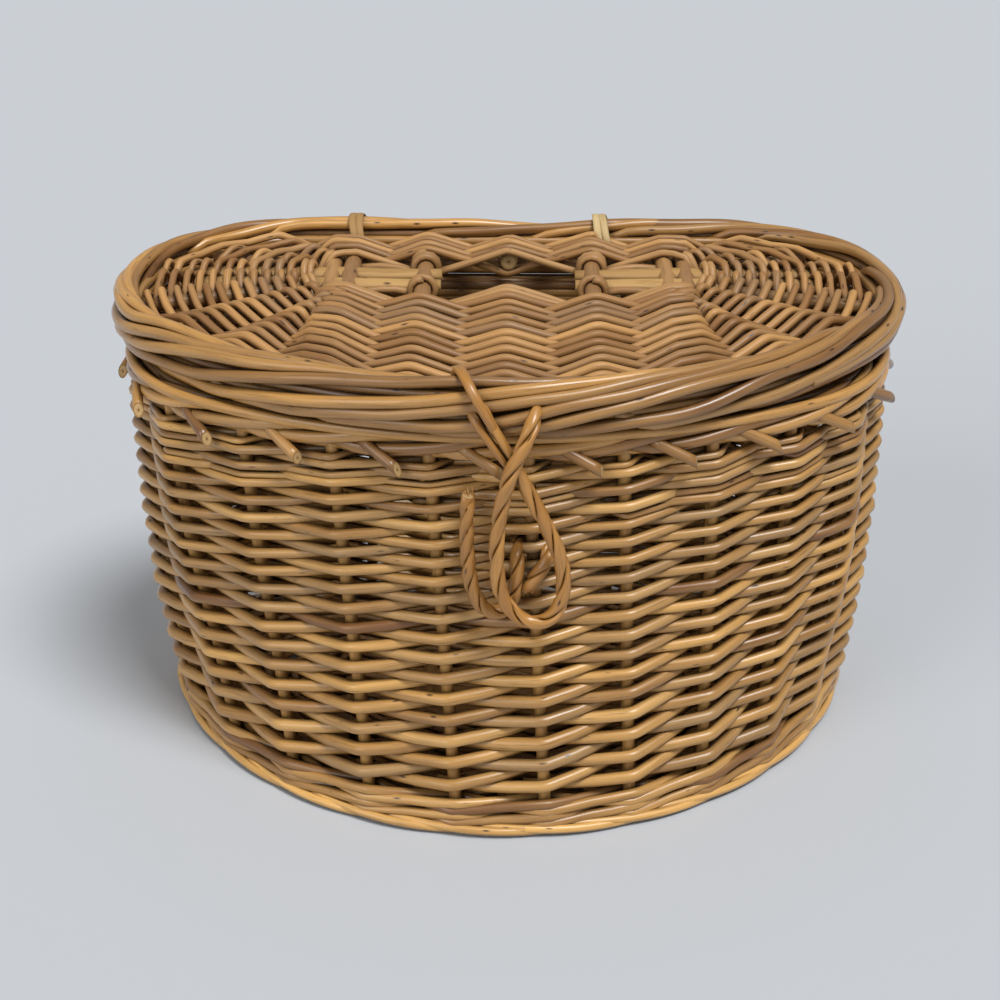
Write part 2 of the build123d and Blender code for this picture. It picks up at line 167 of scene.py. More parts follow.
# One willow rod along points, added to a piece. tone is (lightness, seed, age).
# shape may press the rod's section: it takes the ring's number and a corner's offset from the middle.
def addRod(piece, points, widths, tone, sides, closed=False, slant=0.0, shape=None):
    curve, line = newCurve("POLY", [(x * mm, y * mm, z * mm) for x, y, z in points])
    curve.bevel_depth = 1.0
    curve.bevel_resolution = (sides - 4) // 2
    for spot, width in zip(line.points, widths):
        spot.radius = width / 2 * mm
    line.use_cyclic_u = closed
    mesh = curveMesh(curve)
    lengths = [0.0]
    for here, there in zip(points, list(points[1:]) + [points[0]]):
        lengths.append(lengths[-1] + (Vector(there) - Vector(here)).length * mm)
    rod = bmesh.new()
    rod.from_mesh(mesh)
    rod.verts.ensure_lookup_table()
    rings = len(points)
    if shape:
        for index, vertex in enumerate(rod.verts):
            ring = index // sides
            middle = Vector(points[ring]) * mm
            vertex.co = middle + shape(ring, vertex.co - middle)
    uv = rod.loops.layers.uv["UVMap"]
    steps = rings if closed else rings - 1
    for face in rod.faces:
        face.smooth = True
        for loop in face.loops:
            share, around = loop[uv].uv
            loop[uv].uv = (lengths[min(round(share * steps), rings)], around)
    if not closed:
        heading = (Vector(points[-1]) - Vector(points[-2])).normalized()
        if slant:
            middle = Vector(points[-1]) * mm
            upward = Vector((0, 0, 1)) - heading * heading.z
            for vertex in rod.verts[(rings - 1) * sides:]:
                vertex.co += heading * slant * (vertex.co - middle).dot(upward.normalized())
        edges = [edge for edge in rod.edges if edge.is_boundary]
        ends = bmesh.ops.holes_fill(rod, edges=edges, sides=sides)["faces"]
        poked = bmesh.ops.poke(rod, faces=ends)
        centres = set(poked["verts"])
        for face in poked["faces"]:
            face.material_index = 1
            face.smooth = False
            for number, loop in enumerate(face.loops):
                loop[uv].uv = (0.0 if loop.vert in centres else 1.0, number / 3)
    layer = rod.verts.layers.float_vector.new("rodTone")
    for vertex in rod.verts:
        vertex[layer] = tone
    rod.to_mesh(mesh)
    piece.from_mesh(mesh)
    rod.free()
    bpy.data.meshes.remove(mesh)


def newObject(name, data):
    made = bpy.data.objects.new(name, data)
    bpy.context.scene.collection.objects.link(made)
    return made


# Every piece has the willow of its skin first and cut ends second.
def finishPiece(piece, name, body, slot, willow, *replaced):
    mesh = bpy.data.meshes.new(name)
    piece.to_mesh(mesh)
    piece.free()
    mesh.materials.append(willow)
    mesh.materials.append(cutWillow)
    made = newObject(name, mesh)
    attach(made, body)
    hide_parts(*replaced)
    print(name, sum(len(face.vertices) - 2 for face in mesh.polygons), "triangles")


# How a weaver swings from side to side of the sticks that it meets.
# crossings are (place, side, half width of the flat top).
# The result is a list of (place, offset, number of the crossing before).
def weaveLine(crossings, swing, bend, step):
    found = []
    for index, ((placeA, sideA, halfA), (placeB, sideB, halfB)) in enumerate(zip(crossings, crossings[1:])):
        start, end = placeA + halfA, placeB - halfB
        span = end - start
        knots = []
        if sideA != sideB:
            soft = min(bend, span * 0.42)
            slope = 2 * swing / (span - soft)
            for far in (0, soft / 2, soft):
                drop = slope * far * far / (2 * soft)
                knots.append((start + far, sideA * (swing - drop)))
            for far in (soft, soft / 2, 0):
                drop = slope * far * far / (2 * soft)
                knots.append((end - far, sideB * (swing - drop)))
        else:
            top = sideA * swing
            dip = min(0.35, span * 0.008)
            knots = [(start, top), ((start + end) / 2, top * (1 - dip)), (end, top)]
        if halfA:
            knots.insert(0, (placeA, sideA * swing))
        for (hereP, hereO), (thereP, thereO) in zip(knots, knots[1:]):
            parts = max(1, math.ceil((thereP - hereP) / step))
            for part in range(parts):
                share = part / parts
                found.append((hereP + (thereP - hereP) * share, hereO + (thereO - hereO) * share, index))
    last = crossings[-1]
    found.append((last[0], last[1] * swing, len(crossings) - 2))
    return found


# An even, slow unevenness: size is its most, and scale is about how often it turns in a millimetre.
def wobble(seed, place, size, scale=0.03):
    return size * noise.noise(Vector((place * scale, seed * 7.3, seed * 1.7)))


# A rod's lightness, seed and age. bell says how the lightness is spread between dark and light.
def drawTone(chance, age, spread, bell=(2.2, 2.2)):
    return chance.betavariate(*bell), chance.random(), max(0, chance.gauss(age, spread))


# ---- materials ----

def linear(hexColour):
    parts = [int(hexColour[at:at + 2], 16) / 255 for at in (1, 3, 5)]
    return [c / 12.92 if c <= 0.04045 else ((c + 0.055) / 1.055) ** 2.4 for c in parts] + [1.0]


# Inputs go by the sockets' names, or in a tuple by their order. A node among them is linked by its result.
def addNode(tree, kind, settings=None, inputs=None):
    node = tree.nodes.new(kind)
    for name, value in (settings or {}).items():
        setattr(node, name, value)
    if isinstance(inputs, tuple):
        inputs = dict(enumerate(inputs))
    for name, value in (inputs or {}).items():
        if isinstance(value, bpy.types.Node):
            value = value.outputs["Result"] if "Result" in value.outputs else value.outputs[0]
        if isinstance(value, bpy.types.NodeSocket):
            tree.links.new(value, node.inputs[name])
        else:
            node.inputs[name].default_value = value
    return node


def newMaterial(name):
    material = bpy.data.materials.new(name)
    material.use_nodes = True
    material.node_tree.nodes.clear()
    return material, material.node_tree


# dark to light is the skin, aged the greyer rods, streak the fibres, knot the leaf scars, and the crease
# colour is painted shade that darkens the skin in the creases
willowLooks = {
    # willow rods, peeled and steamed: smooth hard skin from honey to brown, with a satin gloss
    "willowSteamedWall": {"dark": "#7A4F27", "light": "#EDB868", "aged": "#8E7250", "streak": "#6B4722",
                          "knot": "#3A2412", "paintedCreaseShade": "#24160B", "roughness": 0.35, "gloss": 0.5},
    # the same rods on the lid, where weather and hands have left them dull and greyer
    "willowSteamedLid": {"dark": "#875C31", "light": "#CD9B5D", "aged": "#8F7458", "streak": "#6F4C2A",
                         "knot": "#41291A", "paintedCreaseShade": "#2C1B0F", "roughness": 0.52, "gloss": 0.12},
    # the borders' thicker steamed rods, rubbed smooth by use: the glossiest skin of the basket
    "willowSteamedBorder": {"dark": "#744B25", "light": "#D8A258", "aged": "#8A6F4C", "streak": "#6D4924",
                            "knot": "#3A2412", "paintedCreaseShade": "#24160B", "roughness": 0.33, "gloss": 0.55},
    # steamed rods twisted into rope: warm and even, with glossy ridges
    "willowTwistedRope": {"dark": "#7C4F20", "light": "#C98F45", "aged": "#A07B4B", "streak": "#6A4620",
                          "knot": "#4A2E16", "paintedCreaseShade": "#2C1B0F", "roughness": 0.32, "gloss": 0.5},
    # willow skein, split and shaved to a strip: bare pale wood without gloss
    "willowSplitPale": {"dark": "#B99A66", "light": "#DCC694", "aged": "#A88250", "streak": "#A98A58",
                        "knot": "#7A5B34", "paintedCreaseShade": "#6B4F2C", "roughness": 0.62, "gloss": 0.0},
    # a thick rod split down the middle: bare wood, a little darker than skein
    "willowSplitStick": {"dark": "#9A7240", "light": "#D2A868", "aged": "#A08253", "streak": "#8A6234",
                         "knot": "#5E4022", "paintedCreaseShade": "#4A3018", "roughness": 0.55, "gloss": 0.0},
}

# mm of rod for one unit of each pattern; fibres then come out 20 mm long, blotches 48 and scars 3
rodPatterns = {"fibre": 62.5, "blotch": 26.3158, "scar": 8.33333}

# a stick's fibres and patches in mm: coarser than real ones, which would be too fine to see
stickPatterns = {"fibreWide": 2.381, "fibreLong": 45.45, "patch": 26.316}


# Willow skin: layers are (colour's name, share), each mixed over those before, and painted shade in the
# creases comes last.
def finishSkin(tree, look, layers, inputs):
    # painted shade: the skin is darkened within about 8 mm of a neighbour, where the creases lie in shadow
    crease = addNode(tree, "ShaderNodeAmbientOcclusion", {"samples": 4}, {"Distance": 8 * mm})
    creaseShadeShare = addNode(tree, "ShaderNodeMapRange", inputs=(crease.outputs["AO"], 0.12, 0.62, 0.92, 0.0))
    colour = linear(look["dark"])
    # the last layer mixes in the painted crease shade by the occlusion share
    for name, share in layers + [("paintedCreaseShade", creaseShadeShare)]:
        colour = addNode(tree, "ShaderNodeMix", {"data_type": "RGBA"},
                         {"Factor": share, "A": colour, "B": linear(look[name])})
    shader = addNode(tree, "ShaderNodeBsdfPrincipled", inputs={"Base Color": colour, "IOR": 1.45, **inputs})
    addNode(tree, "ShaderNodeOutputMaterial", inputs={"Surface": shader})


# A whole willow rod: its skin goes from light to dark from rod to rod and along a rod,
# with fine fibres lengthwise and a dark leaf scar every few centimetres.
def willowRod(name, look):
    material, tree = newMaterial(name)
    # UV runs in metres along the rod and once round it, so that no fibre slides over a neighbour
    rodMap = addNode(tree, "ShaderNodeUVMap", {"uv_map": "UVMap"})
    length, around, _ = addNode(tree, "ShaderNodeSeparateXYZ", inputs=(rodMap,)).outputs
    tone = addNode(tree, "ShaderNodeAttribute", {"attribute_name": "rodTone"})
    lightness, seed, age = addNode(tree, "ShaderNodeSeparateXYZ", inputs=(tone.outputs["Vector"],)).outputs
    turn = addNode(tree, "ShaderNodeMath", {"operation": "MULTIPLY"}, (around, 2 * math.pi))
    ring = [addNode(tree, "ShaderNodeMath", {"operation": wave}, (turn,)) for wave in ("COSINE", "SINE")]
    shift = addNode(tree, "ShaderNodeMath", {"operation": "MULTIPLY"}, (seed, 91.0))
    along = addNode(tree, "ShaderNodeMath", {"operation": "ADD"}, (length, shift))
    spots = {}
    for pattern, unit in rodPatterns.items():
        run = addNode(tree, "ShaderNodeMath", {"operation": "MULTIPLY"}, (along, 1 / (unit * mm)))
        spots[pattern] = addNode(tree, "ShaderNodeCombineXYZ", inputs=(*ring, run))
    fibres = addNode(tree, "ShaderNodeTexNoise", inputs={
        "Vector": spots["fibre"], "Scale": 3.2, "Detail": 4.0, "Roughness": 0.65})
    blotches = addNode(tree, "ShaderNodeTexNoise", inputs={
        "Vector": spots["blotch"], "Scale": 0.55, "Detail": 2.0})
    scars = addNode(tree, "ShaderNodeTexVoronoi", {"feature": "F1"}, {
        "Vector": spots["scar"], "Scale": 0.9, "Randomness": 1.0})
    # few of the scars' cells are kept
    scarChoice = addNode(tree, "ShaderNodeSeparateColor", inputs=(scars.outputs["Color"],))
    scarKeep = addNode(tree, "ShaderNodeMath", {"operation": "GREATER_THAN"}, (scarChoice, 0.86))
    scarShape = addNode(tree, "ShaderNodeMapRange", inputs=(scars.outputs["Distance"], 0.08, 0.26, 1.0, 0.0))
    scar = addNode(tree, "ShaderNodeMath", {"operation": "MULTIPLY"}, (scarKeep, scarShape))

    blotched = addNode(tree, "ShaderNodeMath", {"operation": "MULTIPLY_ADD"}, (blotches, 0.8, -0.4))
    level = addNode(tree, "ShaderNodeMath", {"operation": "ADD", "use_clamp": True}, (lightness, blotched))
    streak = addNode(tree, "ShaderNodeMapRange", inputs=(fibres, 0.52, 0.72, 0.0, 0.62))
    relief = addNode(tree, "ShaderNodeMath", {"operation": "MULTIPLY_ADD"}, (scar, -0.8, fibres))
    bump = addNode(tree, "ShaderNodeBump", inputs={"Strength": 0.35, "Distance": 0.3 * mm, "Height": relief})
    roughness = addNode(tree, "ShaderNodeMapRange", inputs=(
        blotches, 0.3, 0.7, look["roughness"] - 0.06, look["roughness"] + 0.10))
    finishSkin(tree, look, [("light", level), ("aged", age), ("streak", streak), ("knot", scar)],
               {"Roughness": roughness, "Coat Weight": look["gloss"], "Coat Roughness": 0.3, "Normal": bump})
    return material


# Cut end of a willow rod, sliced with a knife: pale dull end grain round a small brown pith.
def willowEnd(name):
    material, tree = newMaterial(name)
    rodMap = addNode(tree, "ShaderNodeUVMap", {"uv_map": "UVMap"})
    outwards = addNode(tree, "ShaderNodeSeparateXYZ", inputs=(rodMap,))
    ramp = addNode(tree, "ShaderNodeValToRGB", inputs=(outwards,))
    stops = ((0.0, "#5A3C20"), (0.10, "#6B4826"), (0.17, "#B08B58"), (0.55, "#C7A774"), (0.80, "#B8935D"),
             (0.97, "#86653A"))
    while len(ramp.color_ramp.elements) < len(stops):
        ramp.color_ramp.elements.new(0.5)
    for element, (place, colour) in zip(ramp.color_ramp.elements, stops):
        element.position = place
        element.color = linear(colour)
    place = addNode(tree, "ShaderNodeTexCoord")
    # pores drawn 0.4 mm across, because real ones are too fine to show
    grain = addNode(tree, "ShaderNodeTexNoise", inputs={
        "Vector": place.outputs["Object"], "Scale": 1 / (0.4 * mm), "Detail": 2.0})
    shade = addNode(tree, "ShaderNodeMapRange", inputs=(grain, 0.3, 0.7, 0.72, 1.12))
    colour = addNode(tree, "ShaderNodeMix", {"data_type": "RGBA", "blend_type": "MULTIPLY"},
                     {"Factor": 1.0, "A": ramp, "B": shade})
    bump = addNode(tree, "ShaderNodeBump", inputs={"Strength": 0.5, "Distance": 0.2 * mm, "Height": grain})
    shader = addNode(tree, "ShaderNodeBsdfPrincipled", inputs={
        "Base Color": colour, "Roughness": 0.75, "IOR": 1.45, "Normal": bump})
    addNode(tree, "ShaderNodeOutputMaterial", inputs={"Surface": shader})
    return material


# A straight willow stake or stick, peeled and steamed: duller than the rods, its grain along one axis.
def willowStick(name, look, axis):
    material, tree = newMaterial(name)
    place = addNode(tree, "ShaderNodeTexCoord").outputs["Object"]
    stretch = [1 / (stickPatterns["fibreWide"] * mm)] * 3
    stretch["XYZ".index(axis)] = 1 / (stickPatterns["fibreLong"] * mm)
    mapping = addNode(tree, "ShaderNodeMapping", inputs={"Vector": place, "Scale": stretch})
    fibres = addNode(tree, "ShaderNodeTexNoise", inputs={"Vector": mapping, "Scale": 1.0, "Detail": 4.0})
    patches = addNode(tree, "ShaderNodeTexNoise", inputs={
        "Vector": place, "Scale": 1 / (stickPatterns["patch"] * mm), "Detail": 2.0})
    streak = addNode(tree, "ShaderNodeMapRange", inputs=(fibres, 0.5, 0.75, 0.0, 0.55))
    bump = addNode(tree, "ShaderNodeBump", inputs={"Strength": 0.3, "Distance": 0.3 * mm, "Height": fibres})
    finishSkin(tree, look, [("light", patches), ("streak", streak)], {
        "Roughness": look["roughness"] + 0.08, "Coat Weight": look["gloss"] * 0.5, "Coat Roughness": 0.4,
        "Normal": bump})
    return material


wallWillow, lidWillow, borderWillow, ropeWillow, paleWillow, splitWillow = (
    willowRod(name, look) for name, look in willowLooks.items())
cutWillow = willowEnd("willowCutEnd")
stickWillows = {
    "stake_": willowStick("willowStake", willowLooks["willowSteamedWall"], "Z"),
    "base_cross": willowStick("willowBaseStick", willowLooks["willowSteamedLid"], "Y"),
    "base_long": willowStick("willowBaseLongStick", willowLooks["willowSteamedLid"], "X"),
}
for name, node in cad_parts.items():
    for start, willow in stickWillows.items():
        if name.startswith(start):
            node.data.materials.clear()
            node.data.materials.append(willow)
print("materials made")


# ---- the wall: French randing, one rod from each stake, each climbing to the right ----

wallWeave = {"strokes": 35, "bottom": 16.5, "top": 185.8, "butt": 5.75, "tip": 3.92, "bend": 2.6,
             "press": 0.3, "full": 1.1, "thick": (0.95, 1.07), "past": 10.0, "step": 15.0, "seed": 11,
             "sides": 8, "twin": 3.3, "twinThick": (0.9, 1.1), "twinFrom": 27, "twinSpread": range(-1, 6),
             "twinSides": 6, "denseFrom": 0.56}


# A run of strokes of one rod: each is (place, level, side, width). Its ends lie inside the wall.
def addStrokes(piece, strokes, tone, seed, sides):
    first, last, past = strokes[0], strokes[-1], wallWeave["past"]
    strokes = [(first[0] - past, first[1], -1, first[3]), *strokes, (last[0] + past, last[1], -1, last[3])]
    crossings = [(place, side, 0.0) for place, _, side, _ in strokes]
    points, wide = [], []
    for place, offset, index in weaveLine(crossings, 1.0, wallWeave["bend"], wallWeave["step"]):
        here, there = strokes[index], strokes[index + 1]
        share = (place - here[0]) / (there[0] - here[0])
        level, width = (here[k] + (there[k] - here[k]) * share for k in (1, 3))
        swing = (stakes["width"] + width) / 2 - wallWeave["press"]
        point, outward = onWall(place, level + wobble(seed, place, 0.5), stakes["inset"])
        points.append(point + outward * (offset * swing + wobble(seed + 9, place, 0.5, 0.05)))
        wide.append(width * (1 + wobble(seed + 5, place, 0.12, 0.02)))
    addRod(piece, points, wide, tone, sides)


# The back, the ends and the uppermost rows are woven with two rods together, a full one and a thin one.
def isDense(place, stroke, first):
    run = abs((place + mouthHalf) % (2 * mouthHalf) - mouthHalf)
    return stroke < wallWeave["strokes"] - 1 and (stroke >= first or run > wallWeave["denseFrom"] * mouthHalf)


def makeWall():
    chance = random.Random(wallWeave["seed"])
    count, strokes = stakes["count"], wallWeave["strokes"]
    # each stroke lies on the one before, so its thickness is also its rise
    thinner = (wallWeave["tip"] - wallWeave["butt"]) / (strokes - 1)
    rises = [wallWeave["butt"] + thinner * k for k in range(strokes)]
    scale = (wallWeave["top"] - wallWeave["bottom"]) / sum(rises)
    levels = [wallWeave["bottom"] + scale * (sum(rises[:k]) + rises[k] / 2) for k in range(strokes)]
    piece = newPiece()
    for rod in range(count):
        tone = drawTone(chance, 0.05, 0.18)
        seed = chance.random() * 50
        thick = chance.uniform(*wallWeave["thick"]) * wallWeave["full"]
        full = []
        for k in range(strokes):
            place = stakeAlong((rod + k) % count) + 2 * mouthHalf * ((rod + k) // count)
            level = levels[k] + 0.5 * noise.noise(Vector((k * 0.9, seed, 3.1)))
            full.append((place, level, 1 if k % 2 else -1, rises[k] * scale * thick))
        addStrokes(piece, full, tone, seed, wallWeave["sides"])
        run = []
        dense = wallWeave["twinFrom"] + chance.choice(wallWeave["twinSpread"])
        for k, stroke in enumerate(full + [None]):
            if stroke and isDense(stroke[0], k, dense):
                place, level, side, below = stroke
                width = wallWeave["twin"] * chance.uniform(*wallWeave["twinThick"])
                run.append((place, level + (below + width) / 2 - wallWeave["press"], side, width))
            elif run:
                twinTone = drawTone(chance, 0.05, 0.18)
                if len(run) > 1:
                    addStrokes(piece, run, twinTone, seed + 20, wallWeave["twinSides"])
                run = []
    finishPiece(piece, "wallWeave", "basket", "willow_weave", wallWillow, "wall_weave")


makeWall()


# ---- the foot: three-rod wale round the stakes, on a smooth bottom band ----

wale = {"rows": (7.2, 13.4), "width": 4.9, "swing": 5.1, "lift": 2.0, "bend": 3.0, "step": 12.0, "first": 9,
        "rowShift": 6, "seed": 5, "sides": 8}
footBand = {"width": 4.4, "level": 3.1, "inset": 2.4, "turns": 7, "rise": 0.75, "swing": 1.9, "parts": 150}
footFiller = {"insets": (7.0, 11.0), "level": 7.0, "width": 4.6, "parts": 120, "sides": 6}


def makeFoot():
    chance = random.Random(wale["seed"])
    count, girth = stakes["count"], 2 * mouthHalf
    piece = newPiece()
    for row, middle in enumerate(wale["rows"]):
        for strand in range(3):
            tone = drawTone(chance, 0.05, 0.15)
            seed = chance.random() * 50
            first = wale["first"] + strand + row * wale["rowShift"]
            crossings, lifts = [], []
            for number in range(first, first + count + 1):
                phase = (number - strand) % 3  # behind one stake, then in front of two
                crossings.append((stakeAlong(number % count) + girth * (number // count),
                                  -1 if phase == 0 else 1, 0.0))
                lifts.append((0.0, -wale["lift"], wale["lift"])[phase])
            points, wide = [], []
            for place, offset, index in weaveLine(crossings, wale["swing"], wale["bend"], wale["step"]):
                a, b = crossings[index][0], crossings[index + 1][0]
                share = (place - a) / (b - a)
                level = middle + lifts[index] + (lifts[index + 1] - lifts[index]) * share
                point, outward = onWall(place, level + wobble(seed, place, 0.5), stakes["inset"])
                points.append(point + outward * offset)
                wide.append(wale["width"] * (1 + wobble(seed + 5, place, 0.16, 0.02)))
            addRod(piece, points, wide, tone, wale["sides"])
    # long smooth rods that wind slowly round one another at the very bottom
    for strand in range(3):
        points = []
        parts = footBand["parts"]
        for part in range(parts):
            turn = 2 * math.pi * (footBand["turns"] * part / parts + strand / 3)
            point, _ = onWall(girth * part / parts, footBand["level"] + footBand["rise"] * math.sin(turn),
                              footBand["inset"] + footBand["swing"] * math.cos(turn))
            points.append(point)
        chance.random()  # keeps the tones of the rods that follow
        tone = (chance.betavariate(2.2, 2.2), chance.random(), 0.05)
        addRod(piece, points, [footBand["width"]] * parts, tone, wale["sides"], closed=True)
    # plain rods inside, where the foot meets the base
    for inset in footFiller["insets"]:
        parts = footFiller["parts"]
        points = [onWall(girth * part / parts, footFiller["level"], inset)[0] for part in range(parts)]
        addRod(piece, points, [footFiller["width"]] * parts, (chance.random(), chance.random(), 0.1),
               footFiller["sides"], closed=True)
    finishPiece(piece, "footWale", "basket", "willow_weave", wallWillow, "upsett")


makeFoot()


# ---- rings of weavers round flat sticks, for the base and the lid ----

# Where a ring crosses the sticks: (place on the ring, number of the stick), in the ring's order.
def meetings(outline, sticks):
    half = halfGirth(outline)
    parts = math.ceil(2 * half / 3)  # the ring as short straight lines of 3 mm
    ring = []
    for part in range(parts + 1):
        along = -half + 2 * half * part / parts
        ring.append((along, placeOn(outline, along, 0)[0].xy))
    found = []
    for (placeA, a), (placeB, b) in zip(ring, ring[1:]):
        for number, (start, end, _) in enumerate(sticks):
            run = end - start
            normal = Vector((-run.y, run.x))
            sideA, sideB = normal.dot(a - start), normal.dot(b - start)
            if sideA == sideB or (sideA > 0) == (sideB > 0):
                continue
            share = sideA / (sideA - sideB)
            spot = a + (b - a) * share
            if -0.02 <= (spot - start).dot(run) / run.length_squared <= 1.02:
                found.append((placeA + (placeB - placeA) * share, number))
    return sorted(found)


def mixOutline(inner, outer, share):
    return tuple(a + (b - a) * share for a, b in zip(inner, outer))


# A stick's middle line on the flat, a little longer than its node so that the outer rings meet it too.
def stickLine(node, before, beyond):
    low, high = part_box(node)
    middle = (low.x + high.x) / 2 / mm
    return Vector((middle, low.y / mm - before)), Vector((middle, high.y / mm + beyond))


tieMiddles = []
for tieNode in ("hinge_tie_left", "hinge_tie_right"):
    low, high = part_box(tieNode)
    tieMiddles.append((low.x + high.x) / 2 / mm)

# The weave leaves room for the two ties, whose strips run between two radii round the hinge's axis.
tieRoom = {"axis": (106.3, 214.75), "inner": 11.5, "between": 14.4, "outer": 17.1, "halfWidth": 6.0,
           "fade": 6.0}


def clearTies(point):
    axisY, axisZ = tieRoom["axis"]
    for x in tieMiddles:
        near = max(0.0, 1 - max(0.0, abs(point.x - x) - tieRoom["halfWidth"]) / tieRoom["fade"])
        y, z = point.y - axisY, point.z - axisZ
        reach = math.hypot(y, z)
        if near and tieRoom["inner"] < reach < tieRoom["outer"]:
            wanted = tieRoom["inner"] if reach < tieRoom["between"] else tieRoom["outer"]
            scale = 1 + (wanted / reach - 1) * near
            point.y, point.z = axisY + y * scale, axisZ + z * scale
    return point


# One rod of a ring, woven over and under the sticks. size(y) is its width there.
def addRingRod(piece, look, outline, crossings, tone, seed, size, closed):
    points, wide = [], []
    for place, offset, _ in weaveLine(crossings, look["swing"], look["bend"], look["step"]):
        point, outward = placeOn(outline, place, 0)
        point = point + outward * wobble(seed + 3, place, look["sway"])
        point.z = look["height"] + offset + wobble(seed, place, look["rise"])
        wide.append(size(point.y) * (1 + wobble(seed + 5, place, look["uneven"], 0.02)))
        points.append(clearTies(point))
    if closed:
        points, wide = points[:-1], wide[:-1]
    addRod(piece, points, wide, tone, look["sides"], closed=closed)


lidWeave = {"rows": 24, "height": 217.0, "inner": (96.0, -21.5, 70.5, 24.0), "edge": 18.0, "width": 4.4,
            "thick": (0.90, 1.10), "swing": 6.0, "bend": 3.2, "step": 9.0, "sway": 0.9, "rise": 0.8,
            "uneven": 0.10, "past": 8.0, "seed": 23, "sides": 8,
            "backFrom": 56.0, "farBack": (0.86, 6.0)}  # the back is behind y 56, its middle 0.86 of the width
lidStick = {"cross": 8.3, "pair": 4.55, "fan": 6.6, "fanMiddle": (60.0, 47.0), "height": 217.0, "seed": 8,
            "sides": 12, "rows": (("front", 40.0), ("back", 54.0)), "rowEnds": (32.2, 149.8)}
crossSticks = ("left_outer", "left_inner", "centre_front", "centre_back", "right_inner", "right_outer")
fanSticks = ((-58, 66, 110), (-38, 45, 110), (-18, 47, 111), (20, 43, 91), (38, 44, 74))  # turn, near, far


def lidSticks():
    found = []
    for name in crossSticks:
        before, beyond = {"centre_front": (6, 0), "centre_back": (2, 10)}.get(name, (6, 10))
        found.append((*stickLine("lid_cross_stick_" + name, before, beyond), 4.5 if "outer" in name else 0.0))
    middle = Vector(lidStick["fanMiddle"])
    for side in (-1, 1):
        for _, row in lidStick["rows"]:
            found.append((Vector((side * 60.0, row)), Vector((side * 168.0, row)), 0.0))
        for turn, _, _ in fanSticks:
            heading = Vector((math.cos(math.radians(turn)), math.sin(math.radians(turn))))
            start, end = middle + heading * 34, middle + heading * 118
            found.append((Vector((side * start.x, start.y)), Vector((side * end.x, end.y)), 0.0))
    return found


lidWraps = {"x": 40.5, "radius": 5.8, "pitch": 3.1, "parts": 12, "tail": 5, "hump": 4.0, "dip": 3.0,
            "width": 3.7, "places": ((66.5, 42.0, 2.6), (35.5, 40.0, 1.6))}  # y, the tail's reach, turns


# A weaver that turns back round the stick beside the hole: a few wraps, then off into the weave.
def addWrap(piece, side, y, reach, turns, chance):
    middle = Vector((side * lidWraps["x"], y, lidWeave["height"]))
    pitch = lidWraps["pitch"] if y > 50 else -lidWraps["pitch"]
    parts, radius = lidWraps["parts"], lidWraps["radius"]
    points = []
    for part in range(round(turns * parts) + 1):
        angle = math.pi / 2 - side * 2 * math.pi * part / parts
        points.append(middle + Vector((radius * math.cos(angle), pitch - pitch * part / parts,
                                       radius * math.sin(angle))))
    tail = points[-1]
    for part in range(1, lidWraps["tail"] + 1):
        share = part / lidWraps["tail"]
        rise = lidWraps["hump"] * math.sin(math.pi * share) - lidWraps["dip"] * share
        points.append(Vector((tail.x + side * reach * share, tail.y + 2 * pitch * share,
                              tail.z + (lidWeave["height"] - tail.z) * share + rise)))
    widths = [lidWraps["width"] * (1 + wobble(y, 6.0 * k, 0.1)) for k in range(len(points))]
    addRod(piece, points, widths, (chance.uniform(0.3, 0.7), chance.random(), 0.2), lidWeave["sides"])


def makeLidWeave():
    chance = random.Random(lidWeave["seed"])
    sticks = lidSticks()
    outer = tuple(size - lidWeave["edge"] for size in outlines["lid"])
    wideShare, wideLess = lidWeave["farBack"]
    piece = newPiece()
    for row in range(lidWeave["rows"]):
        share = row / (lidWeave["rows"] - 1)
        outline = mixOutline(lidWeave["inner"], outer, share)
        # behind the hole fewer rods fit: of three rows one goes all round, one stops where the back's
        # middle begins and one before the back
        kind = row % 3
        crossings = []
        for order, (place, number) in enumerate(meetings(outline, sticks)):
            point, _ = placeOn(outline, place, 0)
            back = point.y > lidWeave["backFrom"]
            farBack = back and abs(point.x) < wideShare * outline[0] - wideLess
            if (kind and farBack) or (kind == 2 and back):
                continue
            # how many rods lie between this one and the hole decides over or under
            rank = row // 3 if farBack else (row // 3) * 2 + min(kind, 1) if back else row
            crossings.append((place, 1 if (rank + order) % 2 == 0 else -1, sticks[number][2]))
        if len(crossings) < 2:
            continue
        start, end, past = crossings[0], crossings[-1], lidWeave["past"]
        if kind:
            crossings = [(start[0] - past, -1, 0.0), *crossings, (end[0] + past, -1, 0.0)]
        else:
            crossings.append((start[0] + 2 * halfGirth(outline), *start[1:]))
        tone = drawTone(chance, 0.12, 0.2)
        seed = chance.random() * 50
        base = lidWeave["width"] * chance.uniform(*lidWeave["thick"]) * (1.06 - 0.12 * share)
        # rods are thinner towards the back
        addRingRod(piece, lidWeave, outline, crossings, tone, seed,
                   lambda y: base * (0.84 + 0.16 * max(0.0, min(1.0, (30 - y) / 60))), not kind)
    for side in (-1, 1):
        for y, reach, turns in lidWraps["places"]:
            addWrap(piece, side, y, reach, turns, chance)
    finishPiece(piece, "lidWeave", "lid", "willow_lid_weave", lidWillow, "lid_weave")


makeLidWeave()


# ---- sticks of the lid ----

# A stick: spot(share, seed) gives how far along it is in mm and its middle, width(share) its width.
def addStick(piece, chance, steps, spot, width, uneven, lightest, age, shape=None):
    seed = chance.random() * 40
    points, wide = [], []
    for step in range(steps + 1):
        run, point = spot(step / steps, seed)
        points.append(point)
        wide.append(width(step / steps) * (1 + wobble(seed + 8, run, uneven)))
    tone = (chance.uniform(0.3, lightest), chance.random(), age)
    addRod(piece, points, wide, tone, lidStick["sides"], shape=shape)


